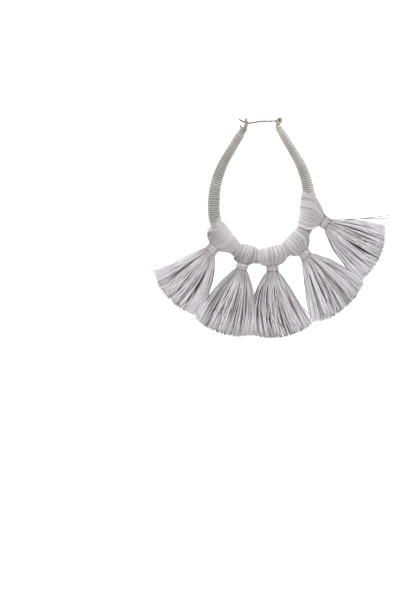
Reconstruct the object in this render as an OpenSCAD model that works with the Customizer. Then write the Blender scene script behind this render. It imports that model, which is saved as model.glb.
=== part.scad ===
// Tassel earring lying flat: an open teardrop hoop wound with thread, five fanned tassels folded over
// its foot, and a hinged ear wire that closes across the top. Millimetres, Z up, the surface at Z = 0.

/* [Hoop] */
// Radius of the round foot of the hoop, to the middle of the tube
bowl_r = 18.2; // [15:0.1:24]
// Straight stretch of each side between the foot and the shoulder
flank = 1.9; // [0.5:0.1:6]
// Radius of the long shoulder curve
shoulder_r = 35; // [28:0.5:45]
// How far each shoulder turns inwards, in degrees
shoulder_turn = 31.5; // [24:0.5:36]
// Straight top of the left arm, which carries the catch
arm_left = 11.5; // [8:0.1:14]
// Straight top of the right arm, which carries the hinge
arm_right = 12.6; // [9:0.1:15]
// Thickness of the wound tube round the foot
foot_d = 4.6; // [3.6:0.1:6]
// Thickness of the wound tube at its left end, in the catch
catch_end_d = 2.5; // [2:0.1:3]
// Thickness of the wound tube at its right end, under the hinge
hinge_end_d = 2; // [1.8:0.1:3]
// How late each side narrows towards its end, where 1 is an even taper
taper = 1.6; // [1:0.1:2]

/* [Tassels] */
// Thickness of the threads folded over the hoop, in the middle of a cap
cap_t = 1.3; // [0.8:0.05:1.8]
// Depth of the grooves between the strands of a cap
groove = 0.14; // [0.05:0.01:0.25]
// Thickness of the gathered neck, under its binding
neck_d = 3.9; // [3:0.1:4.8]
// Length of the neck band along the tassel
neck_l = 2.5; // [1.5:0.1:4]
// Distance from the middle of the tube to the middle of the neck
neck_drop = 5; // [4.8:0.1:8]
// Length of a skirt, from the middle of the neck to the cut ends
skirt_l = 25.6; // [18:0.1:34]
// Depth of the locks at the cut ends
tip_depth = 1.7; // [1:0.1:2.6]
// Thread that binds the neck
bind_t = 0.42; // [0.25:0.01:0.6]

/* [Ear wire] */
// Thickness of the ear wire
wire_d = 0.65; // [0.5:0.01:0.9]
// Radius of its flat eye
eye_r = 0.8; // [0.7:0.05:1]
// Thickness of the flattened eye
eye_t = 0.55; // [0.4:0.01:0.7]
// Thickness of the hinge pin
pin_d = 0.6; // [0.5:0.01:0.7]
// Width of the hinge knuckle, across and through
knuckle_w = 2.3; // [2.1:0.1:3]
// Height of the hinge pin above the end of the right arm
pin_rise = 2.75; // [2.4:0.05:3.5]
// How far the hinge pin stands to the right of the arm's end
pin_side = 0.3; // [0:0.05:0.6]
// Length of the flattened end of the wire, from the pin
paddle_l = 2.6; // [2.2:0.1:3.4]
// Width of the flattened end
paddle_w = 0.9; // [0.7:0.05:1.1]

/* [Catch] */
// Height of the wire's seat above the end of the left arm
seat_rise = 2.8; // [2.4:0.05:3.5]
// How far the seat stands to the right of the arm's end
seat_side = 1.15; // [0.8:0.05:1.4]
// Height of the tall slotted prong above the seat of the wire
prong_h = 2; // [1.2:0.1:3]
// Width of the tall prong at its root
prong_w = 1.6; // [1.2:0.1:2]
// Thickness of each leaf beside the slot
leaf_t = 0.45; // [0.3:0.05:0.7]
// Depth of the notch between the prongs, under the seat of the wire
notch_drop = 1.7; // [1.4:0.05:2]
// Height of the short prong above the notch
stub_h = 0.85; // [0.4:0.05:1.2]
// Wall of the ferrule over the left end of the hoop
ferrule_t = 0.22; // [0.15:0.01:0.4]

/* [Fits] */
// Gap between threads and what they lie on
thread_gap = 0.06; // [0.04:0.01:0.12]
// Gap round the pin in the knuckle
pin_gap = 0.03; // [0.01:0.01:0.06]
// Running gap between the eye and its pin
eye_gap = 0.05; // [0.02:0.01:0.08]
// Running gap beside the eye, and beside the wire in its slot
side_gap = 0.09; // [0.05:0.01:0.15]

/* [Hidden] */
$fn = 32;

// One row for each tassel from left to right, in degrees unless a column says otherwise.
// The cap runs round the foot from cap_from to cap_to, where 0 is its lowest point and 90 its right side.
// The middle of the tassel leaves the hoop at seat and lies along lie, where 0 points right and 270 down.
// The outer strands leave the neck along root_from and root_to, and end along tip_from and tip_to.
// reach is a share of neck_drop, and len_from and len_to are shares of skirt_l. lead is how far ahead the
// first strands cross the inner side of the hoop. edge_from and edge_to are shares of cap_t.
CAP_FROM = 0;
CAP_TO = 1;
SEAT = 2;
LIE = 3;
REACH = 4;
ROOT_FROM = 5;
ROOT_TO = 6;
TIP_FROM = 7;
TIP_TO = 8;
LEN_FROM = 9;
LEN_TO = 10;
LEAD = 11;
EDGE_FROM = 12;
EDGE_TO = 13;
TASSELS = [
    [-66.3, -31.4, -53.8, 228, 1.24, 204, 270, 204, 254.5, 0.94, 1.00, 8, 0.2, 0.6],
    [-30.9,  -5.2, -19.9, 256, 0.99, 222, 281, 229.8, 274, 1.03, 1.03, 0, 0.4, 0.7],
    [ -4.7,  30.6,  12.3, 273, 0.975, 238, 305, 256, 301, 1.04, 1.01, 0, 0.5, 0.4],
    [ 31.1,  64.0,  47.2, 304, 1.13, 280, 340, 278, 330.5, 1.06, 1.00, 0, 0.9, 0.4],
    [ 64.5, 108.3,  85.0, 328, 1.40, 293, 360, 305.5, 357, 1.05, 0.93, 0, 0.9, 0.2],
];

lane = foot_d / 2 + cap_t;
bowl_quarter = bowl_r * PI / 2;
shoulder_run = shoulder_r * shoulder_turn * PI / 180;
left_end = bowl_quarter + flank + shoulder_run + arm_left;
right_end = bowl_quarter + flank + shoulder_run + arm_right;
hoop_sides = 14;
hoop_step = 2.6;
ridges = 8;
lock_count = 11;

// A point of the plan at a distance along a direction
function along(angle, length) = length * [cos(angle), sin(angle)];
function mix(a, b, t) = a + (b - a) * t;
function ease(t) = let (u = min(max(t, 0), 1)) u * u * (3 - 2 * u);

// The centre line of the hoop, s along it from its lowest point: [x, y, turn]. turn - 90 faces outwards.
function arm_place(s) =
    s < bowl_quarter ? let (turn = s / bowl_r * 180 / PI) [bowl_r * sin(turn), -bowl_r * cos(turn), turn] :
    s < bowl_quarter + flank ? [bowl_r, s - bowl_quarter, 90] :
    let (
        past = s - bowl_quarter - flank,
        bend = min(past / shoulder_r * 180 / PI, shoulder_turn),
        rest = max(past - shoulder_run, 0)
    ) [
        bowl_r - shoulder_r * (1 - cos(bend)) - rest * sin(shoulder_turn),
        flank + shoulder_r * sin(bend) + rest * cos(shoulder_turn),
        90 + bend
    ];
function hoop_place(s) = let (p = arm_place(abs(s))) s < 0 ? [-p.x, p.y, -p.z] : p;
function hoop_middle(s) = let (p = hoop_place(s)) [p.x, p.y];
function hoop_out(s) = along(hoop_place(s).z - 90, 1);
function hoop_r(s) =
    let (end = s < 0 ? left_end : right_end, end_d = s < 0 ? catch_end_d : hinge_end_d)
    mix(foot_d, end_d, pow(min(max((abs(s) - bowl_quarter) / (end - bowl_quarter), 0), 1), taper)) / 2;
function foot_run(turn) = turn * PI / 180 * bowl_r;

// Places on a tassel
function row(i, column) = TASSELS[i][column];
function neck_middle(i) =
    hoop_middle(foot_run(row(i, SEAT))) + along(row(i, LIE), neck_drop * row(i, REACH));
function share(f) = (f + 1) / 2;
// The locks in the middle are cut shorter by this share
trim = 0.03;
function tip(i, f) =
    neck_middle(i) + along(
        mix(row(i, TIP_FROM), row(i, TIP_TO), share(f)),
        skirt_l * mix(row(i, LEN_FROM), row(i, LEN_TO), share(f)) * (1 - trim * pow(cos(f * 90), 2))
    );

// The hinge stands on the end of the right arm and the catch on that of the left
pin_at = hoop_middle(right_end) + [pin_side, pin_rise];
catch_seat = hoop_middle(-left_end) + [seat_side, seat_rise];

// The plan is centred over the origin between the outermost locks, the prong's top and the lowest lock
tips = [for (i = [0 : 4]) for (j = [0 : lock_count - 1]) tip(i, 2 * j / (lock_count - 1) - 1)];
low = [min([for (p = tips) p.x]), min([for (p = tips) p.y])];
high = [max([for (p = tips) p.x]), catch_seat.y + prong_h];
centre = (low + high) / 2;

module in_plan() {
    translate([-centre.x, -centre.y, lane]) children();
}

// A closed mesh from loops of points, with a strip across each end loop
module skin(loops) {
    n = len(loops[0]);
    far = (len(loops) - 1) * n;
    points = [for (l = loops) for (p = l) p];
    sides = [
        for (i = [0 : len(loops) - 2]) for (k = [0 : n - 1])
            let (a = i * n + k, b = i * n + (k + 1) % n) each [[a, b, b + n], [a, b + n, a + n]]
    ];
    strip = [
        for (k = [0 : floor(n / 2) - 1])
            let (a = k, b = k + 1, c = n - 1 - k, d = n - 2 - k)
            each [if (c > b) [a, b, c], if (d > b) [c, b, d]]
    ];
    near_end = [for (t = strip) [t[2], t[1], t[0]]];
    far_end = [for (t = strip) [far + t[0], far + t[1], far + t[2]]];
    polyhedron(points, concat(sides, near_end, far_end));
}

// The wound tube between two places on its centre line, thicker by grow all round
function tube_loop(s, grow) =
    let (middle = hoop_middle(s), out = hoop_out(s), r = hoop_r(s) + grow)
    [for (k = [0 : hoop_sides - 1])
        let (a = 360 * k / hoop_sides) [each (middle + out * r * cos(a)), r * sin(a)]];
module tube(from, to, grow) {
    steps = ceil((to - from) / hoop_step);
    skin([for (i = [0 : steps]) tube_loop(mix(from, to, i / steps), grow)]);
}

module hoop() {
    color("#A9A7A2") in_plan() tube(-left_end, right_end, 0);
}

// A cap: strands folded over the tube and drawn in to the neck. f runs from -1 to 1 across the cap.
cap_round = [-90, -60, -30, 0, 30, 60, 90];
cap_shares = [0.35, 0.65, 0.87, 1];
cap_bulge = 2;
// How soon the strands leave the hoop towards the neck, how far off they bend, and how wide they reach it
cap_set = 0.35;
cap_knee = 0.35;
foot_spread = 0.94;
// How suddenly a cap thins towards its edges
cap_round_off = 2.5;
// How far the hollow for the hoop runs past both sides of a cap
hollow_past = 5;
function bulge(u) = pow(1 - pow(u, cap_bulge), 1 / cap_bulge);
function bend(a, knee, b, t) = mix(mix(a, knee, t), mix(knee, b, t), t);
function cap_radius(i, f, s) =
    let (edge = row(i, f < 0 ? EDGE_FROM : EDGE_TO), in_groove = round((f + 1) * ridges) % 2 == 1)
    hoop_r(s) + cap_t * (1 - (1 - edge) * pow(abs(f), cap_round_off)) - (in_groove ? groove : 0);
function cap_loop(i, f) =
    let (
        turn_at = mix(row(i, CAP_FROM), row(i, CAP_TO), share(f)),
        lead = row(i, LEAD) * (1 - share(f)),
        s = foot_run(turn_at),
        start = hoop_middle(s),
        r = cap_radius(i, f, s),
        lie = row(i, LIE),
        foot = neck_middle(i) - along(lie, neck_l / 2) + along(lie + 90, foot_spread * f * neck_d / 2),
        neck_z = neck_d / 2 * sqrt(1 - pow(foot_spread * f, 2)),
        outwards = mix(hoop_place(s).z + 270, lie, cap_set),
        knee = start + along(outwards, cap_knee * norm(foot - start)),
        side = function (u) [each bend(start, knee, foot, u), mix(neck_z, r, bulge(u))]
    )
    [
        for (u = [len(cap_shares) - 1 : -1 : 0]) side(cap_shares[u]),
        for (k = [len(cap_round) - 1 : -1 : 0])
            let (turn = cap_round[k], at = foot_run(turn_at - lead * cos(turn)))
            [each (hoop_middle(at) - hoop_out(at) * r * cos(turn)), r * sin(turn)],
        for (u = cap_shares) let (p = side(u)) [p.x, p.y, -p.z]
    ];

module neck(i) {
    translate([each neck_middle(i), 0]) rotate([0, 90, row(i, LIE)])
        cylinder(h = neck_l + 4 * root_lap, d = neck_d, center = true, $fn = neck_sides);
}

// One lock of the skirt, from the neck along a bend to its cut end on the surface. The roots stay inside
// the neck, and the locks overlap by their width until they part at the cut ends.
lock_steps = [0, 0.3, 0.65, 1];
lock_flat = 0.1;
root_lap = 0.25;
neck_sides = 24;
root_spread = 0.82;
root_fill = 0.95;
lock_lap = 0.62;
lock_part = 0.46;
// How early a skirt thins from the round of its neck to the depth of its tips
lock_thin = 0.8;
function lock_root(i, f) =
    let (lie = row(i, LIE))
    neck_middle(i) + along(lie, neck_l / 2 + lock_flat) + along(lie + 90, root_spread * f * neck_d / 2);
function lock_knee(i, f) =
    let (heading = mix(row(i, ROOT_FROM), row(i, ROOT_TO), share(f)))
    lock_root(i, f) + along(heading, norm(tip(i, f) - lock_root(i, f)) / 2);
function lock_middle(i, f, t) = bend(lock_root(i, f), lock_knee(i, f), tip(i, f), t);
function lock_heading(i, f, t) =
    let (d = mix(lock_knee(i, f) - lock_root(i, f), tip(i, f) - lock_knee(i, f), t)) atan2(d.y, d.x);
function lock_half_depth(f, t) =
    mix(neck_d / 2 * sqrt(pow(root_fill, 2) - pow(root_spread * f, 2)), tip_depth / 2, pow(t, lock_thin));
function lock_half_width(i, f, t) =
    let (
        step = 2 / (lock_count - 1),
        near = f > 0 ? f - step : f + step,
        pitch = norm(lock_middle(i, f, t) - lock_middle(i, near, t))
    ) pitch * (t == 1 ? lock_part : lock_lap);
module lock_section(i, f, t) {
    half = lock_half_depth(f, t);
    drop = (half - lane) * ease(2 * t);
    translate([each lock_middle(i, f, t), drop])
        rotate([90, 0, lock_heading(i, f, t) + 90])
            linear_extrude(lock_flat, center = true)
                scale([lock_half_width(i, f, t), half]) circle(1, $fn = 8);
}
module lock(i, f) {
    for (k = [0 : len(lock_steps) - 2]) hull() {
        lock_section(i, f, lock_steps[k]);
        lock_section(i, f, lock_steps[k + 1]);
    }
}

module tassel(i) {
    color("#BDBABC") in_plan() difference() {
        union() {
            skin([for (j = [0 : 2 * ridges]) cap_loop(i, j / ridges - 1)]);
            neck(i);
            for (j = [0 : lock_count - 1]) lock(i, 2 * j / (lock_count - 1) - 1);
        }
        tube(foot_run(row(i, CAP_FROM)) - hollow_past, foot_run(row(i, CAP_TO)) + hollow_past, thread_gap);
    }
}

// The wound band round a neck: turns of thread side by side over a share that they have in common
bind_core = 0.6;
module binding(i) {
    inner = neck_d / 2 + thread_gap;
    band = neck_l - 2 * thread_gap;
    turns = round(band / bind_t);
    pitch = band / turns;
    color("#BDBBBC") in_plan()
        translate([each neck_middle(i), 0]) rotate([0, 90, row(i, LIE)]) translate([0, 0, -band / 2])
            rotate_extrude() {
                translate([inner, 0]) square([bind_t * bind_core, band]);
                for (k = [0 : turns - 1])
                    translate([inner + bind_t / 2, (k + 0.5) * pitch])
                        intersection() {
                            circle(d = pitch);
                            translate([0, -pitch]) square([bind_t, 2 * pitch]);
                        }
            }
}

module tassel_1() { tassel(0); }
module tassel_2() { tassel(1); }
module tassel_3() { tassel(2); }
module tassel_4() { tassel(3); }
module tassel_5() { tassel(4); }
module binding_1() { binding(0); }
module binding_2() { binding(1); }
module binding_3() { binding(2); }
module binding_4() { binding(3); }
module binding_5() { binding(4); }

// The hinge: a slotted knuckle with a plug over the end of the right arm, and a pin across its slot
foot_lap = 0.5;
plug_l = 0.9;
pin_recess = 0.14;
eye_slot = eye_t + 2 * side_gap;

module at_pin() {
    in_plan() translate([each pin_at, 0]) children();
}

module hinge_knuckle() {
    foot = hoop_middle(right_end) - pin_at;
    foot_top = foot + along(90 + shoulder_turn, foot_lap);
    foot_side = along(shoulder_turn, knuckle_w / 2);
    color("#D8D8C8") at_pin() difference() {
        union() {
            cylinder(h = knuckle_w, d = knuckle_w, center = true);
            linear_extrude(knuckle_w, center = true)
                polygon([
                    [-knuckle_w / 2, 0],
                    [knuckle_w / 2, 0],
                    foot_top + foot_side,
                    foot_top - foot_side
                ]);
            translate([each foot, 0]) rotate([-90, 0, shoulder_turn])
                translate([0, 0, thread_gap]) cylinder(h = plug_l, d = hinge_end_d);
        }
        cylinder(h = 2 * knuckle_w, d = pin_d + 2 * pin_gap, center = true);
        translate([-2 * knuckle_w, -eye_r - side_gap, -eye_slot / 2])
            cube([2 * knuckle_w + eye_r + side_gap, 3 * knuckle_w, eye_slot]);
    }
}

module hinge_pin() {
    color("#4A4440") at_pin() cylinder(h = knuckle_w - 2 * pin_recess, d = pin_d, center = true);
}

// The ear wire: a flattened eye on the pin, then a round wire bent to pass through the catch. Each row is
// a point of its middle, along and square to the way from inside the paddle to the catch's seat, in shares.
WIRE = [
    [0.000,  0.000],
    [0.160,  0.003],
    [0.360,  0.019],
    [0.535,  0.009],
    [0.800, -0.016],
    [0.920, -0.020],
    [1.000,  0.000],
    [1.095,  0.049],
    [1.255,  0.141],
];
wire_last = len(WIRE) - 1;
wire_sides = 12;
wire_parts = 3;
paddle_lap = 0.5;
// How far the paddle points below the seat, in degrees
paddle_dip = 3;
seat_way = catch_seat - pin_at;
paddle_heading = atan2(seat_way.y, seat_way.x) + paddle_dip;
wire_start = pin_at + along(paddle_heading, paddle_l - paddle_lap);
wire_way = catch_seat - wire_start;
function wire_row(k) = WIRE[min(max(k, 0), wire_last)];
// A smooth curve through the rows, at t rows along
function wire_middle(t) =
    let (
        k = min(floor(t), wire_last - 1),
        u = t - k,
        a = wire_row(k - 1),
        b = wire_row(k),
        c = wire_row(k + 1),
        d = wire_row(k + 2),
        p = b + u / 2 * (c - a + u * (2 * a - 5 * b + 4 * c - d + u * (3 * (b - c) + d - a)))
    )
    wire_start + p.x * wire_way + p.y * [wire_way.y, -wire_way.x];
// Flattened inside the paddle, round from the second row on, and drawn in at the tip to a share
wire_look = 0.01;
wire_in_paddle = [0.96, 0.92];
tip_round = 0.08;
tip_shares = [0.85, 0.4];
function wire_loop(t, drawn_in = 1) =
    let (
        middle = wire_middle(t),
        ahead = wire_middle(t + wire_look) - wire_middle(t - wire_look),
        aside = [ahead.y, -ahead.x] / norm(ahead),
        w = mix(paddle_w * wire_in_paddle.x, wire_d, ease(t)) / 2 * drawn_in,
        h = mix(eye_t * wire_in_paddle.y, wire_d, ease(t)) / 2 * drawn_in
    )
    [for (k = [0 : wire_sides - 1])
        let (a = 360 * (k + 0.5) / wire_sides) [each (middle + aside * w * cos(a)), h * sin(a)]];
module ear_wire() {
    color("#9A9290") difference() {
        union() {
            at_pin() cylinder(h = eye_t, r = eye_r, center = true);
            at_pin() rotate(paddle_heading)
                translate([0, -paddle_w / 2, -eye_t / 2]) cube([paddle_l, paddle_w, eye_t]);
            in_plan() skin([
                for (k = [0 : wire_parts * wire_last - 1]) wire_loop(k / wire_parts),
                wire_loop(wire_last - tip_round, tip_shares[0]),
                wire_loop(wire_last, tip_shares[1])
            ]);
        }
        at_pin() cylinder(h = 2 * eye_t, d = pin_d + 2 * eye_gap, center = true);
    }
}

// The catch: a ferrule over the left end, a tall prong slotted for the wire and a short prong beside it
ferrule_l = 1.2;
plate_t = 0.3;
prong_tip_r = 0.25;
prong_foot = 0.6;
notch_w = 0.7;
stub_w = 0.4;
wire_slot = wire_d + 2 * side_gap;
// The slot's floor follows the lowest place of the wire within the prong
slot_floor = min([
    for (t = [0 : 0.1 : wire_last])
        let (p = wire_middle(t) - catch_seat)
        if (abs(p.x) < prong_w / 2 + wire_d / 2) p.y
]) - wire_d / 2 - side_gap;

module catch() {
    left = hoop_middle(-left_end) - catch_seat;
    depth = wire_slot + 2 * leaf_t;
    ferrule_d = catch_end_d + 2 * thread_gap + 2 * ferrule_t;
    plate = left + along(90 - shoulder_turn, thread_gap + plate_t / 2);
    plate_side = along(-shoulder_turn, ferrule_d / 2);
    notch = [-prong_w / 2, -notch_drop];
    color("#B5AAA8") in_plan() translate([each catch_seat, 0]) difference() {
        union() {
            translate([each left, 0]) rotate([-90, 0, -shoulder_turn])
                translate([0, 0, -ferrule_l]) cylinder(h = ferrule_l + thread_gap + plate_t, d = ferrule_d);
            linear_extrude(depth, center = true) polygon([
                plate + plate_side,
                [prong_w / 2, -prong_foot],
                [prong_w / 2, 0],
                [prong_tip_r, prong_h - prong_tip_r],
                [-prong_tip_r, prong_h - prong_tip_r],
                notch + [0, notch_w / 2],
                notch - [notch_w / 2, 0],
                notch - [notch_w, 0],
                notch - [notch_w + stub_w, -stub_h],
                notch - [notch_w + 2 * stub_w, -stub_h],
                plate - plate_side
            ]);
            translate([0, prong_h - prong_tip_r, 0]) cylinder(h = depth, r = prong_tip_r, center = true);
        }
        translate([each left, 0]) rotate([-90, 0, -shoulder_turn])
            translate([0, 0, -2 * ferrule_l])
                cylinder(h = 2 * ferrule_l + thread_gap, d = catch_end_d + 2 * thread_gap);
        translate([-prong_w, slot_floor, -wire_slot / 2])
            cube([2 * prong_w, 2 * prong_h, wire_slot]);
    }
}

hoop();
catch();
hinge_knuckle();
hinge_pin();
ear_wire();
tassel_1();
tassel_2();
tassel_3();
tassel_4();
tassel_5();
binding_1();
binding_2();
binding_3();
binding_4();
binding_5();
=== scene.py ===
# Tassel earring lying flat: a thread-wound teardrop hoop with a fan of five tassels and a hinged ear wire.
import math
from collections import namedtuple

import bpy
import numpy as np
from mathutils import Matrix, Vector


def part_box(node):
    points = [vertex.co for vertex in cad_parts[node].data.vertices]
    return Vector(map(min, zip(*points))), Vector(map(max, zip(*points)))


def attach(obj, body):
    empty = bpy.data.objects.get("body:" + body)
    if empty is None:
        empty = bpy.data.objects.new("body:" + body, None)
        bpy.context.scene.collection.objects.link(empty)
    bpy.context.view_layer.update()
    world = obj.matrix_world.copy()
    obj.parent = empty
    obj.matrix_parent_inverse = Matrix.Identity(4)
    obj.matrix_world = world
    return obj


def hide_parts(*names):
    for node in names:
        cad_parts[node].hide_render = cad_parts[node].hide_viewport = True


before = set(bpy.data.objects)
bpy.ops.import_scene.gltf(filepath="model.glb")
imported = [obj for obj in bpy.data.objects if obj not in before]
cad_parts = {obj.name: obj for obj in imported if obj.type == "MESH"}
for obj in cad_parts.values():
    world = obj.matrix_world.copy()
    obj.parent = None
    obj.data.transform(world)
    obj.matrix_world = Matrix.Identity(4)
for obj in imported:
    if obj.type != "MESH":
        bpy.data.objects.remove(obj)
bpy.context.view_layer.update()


# The hoop
# A metal rod bent to an open teardrop and closely wound, end to end, with viscose thread laid on two at a
# time. The winding ends in the catch's ferrule and under the knuckle, laid over itself and glued.

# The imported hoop's own sizes, in millimetres, as all sizes here are unless they say otherwise.
MM = 0.001
BOWL_R = 18.2
FLANK = 1.9
SHOULDER_R = 35
SHOULDER_TURN = math.radians(31.5)
ARM_LEFT = 11.5
ARM_RIGHT = 12.6
FOOT_D = 4.6
CATCH_END_D = 2.5
HINGE_END_D = 2.0
TAPER = 1.6
BOWL_QUARTER = BOWL_R * math.pi / 2
SHOULDER_END = BOWL_QUARTER + FLANK + SHOULDER_R * SHOULDER_TURN
LEFT_END = SHOULDER_END + ARM_LEFT
RIGHT_END = SHOULDER_END + ARM_RIGHT

# Every thread is laid out about the middle of the hoop's round foot, HOOP_Z above the table.
hoop_low, hoop_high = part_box("hoop")
centre = np.array([
    (hoop_low.x + hoop_high.x) / 2 / MM,
    hoop_low.y / MM + FOOT_D / 2 + BOWL_R,
    (hoop_low.z + hoop_high.z) / 2 / MM,
])
HOOP_Z = centre[2]
UP = np.array([0, 0, 1.0])


def hoop_path(s):
    """x, y and the turn of the hoop's middle at s along it from its lowest point."""
    side = np.where(s < 0, -1.0, 1.0)
    run = np.abs(s)
    turn = np.minimum(run, BOWL_QUARTER) / BOWL_R
    past = np.maximum(run - BOWL_QUARTER - FLANK, 0)
    bend = np.minimum(past / SHOULDER_R, SHOULDER_TURN)
    rest = np.maximum(run - SHOULDER_END, 0)
    x = BOWL_R * np.sin(turn) - SHOULDER_R * (1 - np.cos(bend)) - rest * math.sin(SHOULDER_TURN)
    y = -BOWL_R * np.cos(turn) + np.clip(run - BOWL_QUARTER, 0, FLANK)
    y = y + SHOULDER_R * np.sin(bend) + rest * math.cos(SHOULDER_TURN)
    return side * x, y, side * (turn + bend)


def hoop_radius(s):
    end = np.where(s < 0, LEFT_END, RIGHT_END)
    end_d = np.where(s < 0, CATCH_END_D, HINGE_END_D)
    share = np.clip((np.abs(s) - BOWL_QUARTER) / (end - BOWL_QUARTER), 0, 1) ** TAPER
    return (FOOT_D + (end_d - FOOT_D) * share) / 2


def round_hoop(s, angle, radius):
    """Points beside the hoop: angle 0 faces outwards in its plane and a quarter turn faces up."""
    x, y, turn = hoop_path(s)
    level = radius * np.cos(angle)
    return np.stack([x + level * np.sin(turn), y - level * np.cos(turn), radius * np.sin(angle)], -1)


def along_hoop(s):
    turn = hoop_path(s)[2]
    return np.stack([np.cos(turn), np.sin(turn), 0 * turn], -1)


def unit(v):
    return v / np.maximum(np.linalg.norm(v, axis=-1, keepdims=True), 1e-9)


# A thread's own twist makes one turn in TWIST_LAY.
TWIST_LAY = 3.0


def sweep(paths, radius, sides, over, tone):
    """Closed round threads along paths (thread, point, xyz), as corners, faces and what the material reads:
    the place in the thread's twist with the run along it, and its tone. over is any way that no path takes,
    from which a thread's sides are counted."""
    count, points = paths.shape[:2]
    ahead = unit(np.gradient(paths, axis=1))
    across = unit(np.cross(ahead, over))
    above = np.cross(across, ahead)
    round_it = 2 * math.pi * np.arange(sides) / sides
    thick = np.broadcast_to(radius, (count, points))[..., None, None]
    ring = np.cos(round_it)[:, None] * across[:, :, None] + np.sin(round_it)[:, None] * above[:, :, None]
    corners = paths[:, :, None] + thick * ring
    near = np.arange(count * points * sides).reshape(count, points, sides)
    beside = np.roll(near, -1, axis=2)
    walls = np.stack([near[:, :-1], near[:, 1:], beside[:, 1:], beside[:, :-1]], -1).reshape(-1, 4)
    ends = np.concatenate([near[:, 0], near[:, -1, ::-1]])
    run = np.cumsum(np.linalg.norm(np.diff(paths, axis=1, prepend=paths[:, :1]), axis=2), axis=1)
    twist = round_it + run[..., None] * 2 * math.pi / TWIST_LAY
    run = np.broadcast_to(run[..., None], twist.shape)
    strand = np.stack([np.cos(twist), np.sin(twist), run], -1)
    tone = np.broadcast_to(np.asarray(tone, float), (count, points))
    tone = np.broadcast_to(tone[..., None], twist.shape)
    return corners.reshape(-1, 3), walls, ends, strand.reshape(-1, 3), tone.reshape(-1)


def make_piece(name, sweeps, material, body, replaced):
    """One mesh from several sweeps, in the earring's frame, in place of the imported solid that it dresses."""
    first = np.cumsum([0] + [len(s[0]) for s in sweeps])
    corners = np.concatenate([s[0] for s in sweeps]) + centre
    corners[:, 2] = np.maximum(corners[:, 2], 0)
    faces = [f + start for s, start in zip(sweeps, first) for f in (s[1], s[2])]
    sizes = np.concatenate([np.full(len(f), f.shape[1]) for f in faces])
    loops = np.concatenate([f.ravel() for f in faces])
    mesh = bpy.data.meshes.new(name)
    mesh.vertices.add(len(corners))
    mesh.vertices.foreach_set("co", (corners * MM).ravel())
    mesh.loops.add(len(loops))
    mesh.loops.foreach_set("vertex_index", loops)
    mesh.polygons.add(len(sizes))
    mesh.polygons.foreach_set("loop_start", np.cumsum(sizes) - sizes)
    mesh.update(calc_edges=True)
    mesh.attributes.new("strand", "FLOAT_VECTOR", "POINT")
    mesh.attributes.new("tone", "FLOAT", "POINT")
    mesh.attributes["strand"].data.foreach_set("vector", np.concatenate([s[3] for s in sweeps]).ravel())
    mesh.attributes["tone"].data.foreach_set("value", np.concatenate([s[4] for s in sweeps]))
    mesh.shade_smooth()
    mesh.materials.append(material)
    piece = bpy.data.objects.new(name, mesh)
    bpy.context.scene.collection.objects.link(piece)
    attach(piece, body)
    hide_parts(replaced)


random = np.random.default_rng(7)


def smooth_noise(places, period, size):
    """A random curve that wanders by about size, with a new value each period."""
    knots = random.normal(0, size, int((places.max() - places.min()) / period) + 3)
    return np.interp((places - places.min()) / period, np.arange(len(knots)), knots)


# What lies under the winding thickens it along the arms, and more near the glued ends.
FERRULE_RUN = 1.6
FERRULE_STEP = 0.6
END_RUN = 10.0
END_BUILD = 0.3
FLANK_BUILD = 0.12


def wound_radius(s):
    """The winding's outside, which is thin again inside the catch's ferrule."""
    ferrule = -LEFT_END + FERRULE_RUN
    places = [-LEFT_END, ferrule, ferrule + FERRULE_STEP, ferrule + END_RUN, RIGHT_END - END_RUN, RIGHT_END]
    return hoop_radius(s) + np.interp(s, places, [0, 0, END_BUILD, FLANK_BUILD, FLANK_BUILD, END_BUILD])


# The two threads of a turn: where each starts, in turns, how much deeper it lies and how much lighter it
# is painted: the deeper one gets painted shade and the other painted light, so that the pairs show as ribs.
# They stand proud of the imported hoop by WIND_PROUD. What is uneven in them is given by how many
# turns a stretch of it lasts, and its size.
WindThread = namedtuple("WindThread", "start deeper lighter")
WIND_THREADS = [WindThread(0, 0, 0.25), WindThread(0.5, 0.07, -0.25)]
WIND_PITCH = 0.86
WIND_D = 0.46
WIND_PROUD = 0.26
WIND_STEPS = 22
WIND_SIDES = 6
WIND_WANDER = (0.7, 0.035)
WIND_UNEVEN = (1.3, 0.015)
WIND_SHADES = ((2.5, 0.08), (25, 0.05))

# How the winding looks at places along the hoop: its tone, from 0 for deep to 1 for light, and how much
# lighter its outer side is painted, as painted light; below 0 it is painted darker instead, as painted shade.
# Then how strongly its pairs show as ribs, and how far glue fills the grooves between them.
LOOK_AT = [-LEFT_END, -BOWL_QUARTER, 0, BOWL_QUARTER, RIGHT_END]
WIND_TONE = [0.6, 0.49, 0.54, 0.6, 0.53]
WIND_PAINTED_SIDE_LIGHT = [0.2, -0.2, 0, 0.66, 0.75]
INNER_SIDE = -0.1
RIBBED_RUN = 14
RIBS_AT = [-LEFT_END, -BOWL_QUARTER - RIBBED_RUN, -BOWL_QUARTER, BOWL_QUARTER, RIGHT_END]
WIND_RIB_PAINTED_SHADING = [0.2, 0.48, 0.9, 0.5, 0.1]
GLUE_AT = [-LEFT_END, -LEFT_END + END_RUN, BOWL_QUARTER, RIGHT_END - END_RUN, RIGHT_END]
WIND_GLUE = [0.25, 0, 0.05, 0.25, 0.38]
CORE_POINTS = 140
CORE_SIDES = 28
CORE_SINK = 0.6
CORE_PAINTED_SHADE = 0.25
GLUE_TONE = 0.5


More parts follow.
